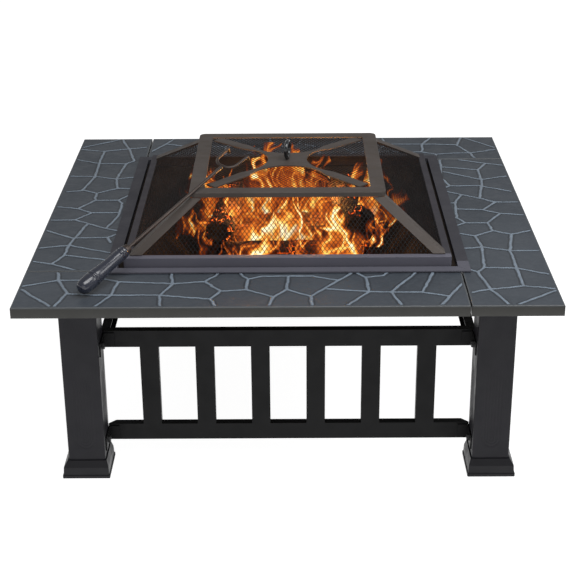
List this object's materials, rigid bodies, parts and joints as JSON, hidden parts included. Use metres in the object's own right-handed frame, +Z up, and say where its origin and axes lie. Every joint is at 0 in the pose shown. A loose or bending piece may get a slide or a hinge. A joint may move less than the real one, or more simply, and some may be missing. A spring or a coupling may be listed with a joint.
{
  "type": "fire pit table",
  "caption": "Square low fire pit table with a stone-pattern pressed top, slatted front and back, lift-out bowl with log grate, peaked mesh spark screen and a two-pronged log poker.",
  "frame": {"origin": "on the ground, under the middle of the table", "axes": "+Z up, -Y is the front, +X to the right seen from the front"},
  "size_m": [0.813, 0.813, 0.45],
  "materials": {
    "tabletop_enamel": "satin",
    "leg_paint": "satin",
    "foot_paint": "satin",
    "panel_paint": "satin",
    "fastener_steel": "black oxide",
    "bowl_enamel": "satin",
    "grate_iron": "matte",
    "firewood": "charred, matte",
    "screen_mesh": "matte",
    "eye_enamel": "gloss",
    "lid_paint": "satin",
    "handle_lacquer": "gloss black lacquer",
    "poker_steel": "brushed"
  },
  "bodies": {
    "table": {"foot_back_left": "foot_paint", "foot_back_right": "foot_paint", "foot_front_left": "foot_paint", "foot_front_right": "foot_paint", "leg_back_left": "leg_paint", "leg_back_right": "leg_paint", "leg_front_left": "leg_paint", "leg_front_right": "leg_paint", "leg_stud_nuts": "fastener_steel", "leg_studs": "fastener_steel", "leg_top_brackets": "leg_paint", "rail_bolts": "fastener_steel", "rail_brackets": "panel_paint", "rail_nuts": "fastener_steel", "seam_bolts": "fastener_steel", "seam_nuts": "fastener_steel", "side_panel_back_bottom_rail": "panel_paint", "side_panel_back_slats": "panel_paint", "side_panel_back_top_rail": "panel_paint", "side_panel_front_bottom_rail": "panel_paint", "side_panel_front_slats": "panel_paint", "side_panel_front_top_rail": "panel_paint", "side_panel_left_top_rail": "panel_paint", "side_panel_right_top_rail": "panel_paint", "tabletop_panel_back": "tabletop_enamel", "tabletop_panel_front": "tabletop_enamel", "tabletop_panel_left": "tabletop_enamel", "tabletop_panel_right": "tabletop_enamel"},
    "bowl": {"fire_bowl": "bowl_enamel", "bowl_rim": "bowl_enamel"},
    "grate": {"firewood_lower_logs": "firewood", "firewood_upper_logs": "firewood", "grate_legs": "grate_iron", "grate_rungs": "grate_iron", "grate_side_bars": "grate_iron"},
    "lid": {"lid_base_frame": "lid_paint", "lid_crown_cross": "lid_paint", "lid_eye": "eye_enamel", "lid_eye_nut": "fastener_steel", "lid_eye_washer": "fastener_steel", "lid_hip_back_left": "lid_paint", "lid_hip_back_right": "lid_paint", "lid_hip_front_left": "lid_paint", "lid_hip_front_right": "lid_paint", "lid_mesh_back": "screen_mesh", "lid_mesh_front": "screen_mesh", "lid_mesh_left": "screen_mesh", "lid_mesh_right": "screen_mesh", "lid_mesh_top": "screen_mesh", "lid_shoulder_ring": "lid_paint"},
    "poker": {"poker_ferrule": "poker_steel", "poker_fork": "poker_steel", "poker_handle": "handle_lacquer", "poker_rod": "poker_steel"}
  },
  "joints": [
    {"name": "bowl_lift", "type": "slide", "parent": "table", "child": "bowl", "axis": [0, 0, 1], "range_m": [0, 0.18]},
    {"name": "grate_lift", "type": "slide", "parent": "bowl", "child": "grate", "axis": [0, 0, 1], "range_m": [0, 0.16]},
    {"name": "lid_lift", "type": "slide", "parent": "grate", "child": "lid", "axis": [0, 0, 1], "range_m": [0, 0.15]},
    {"name": "poker_lift", "type": "slide", "parent": "lid", "child": "poker", "axis": [0, 0, 1], "range_m": [0, 0.12]}
  ]
}
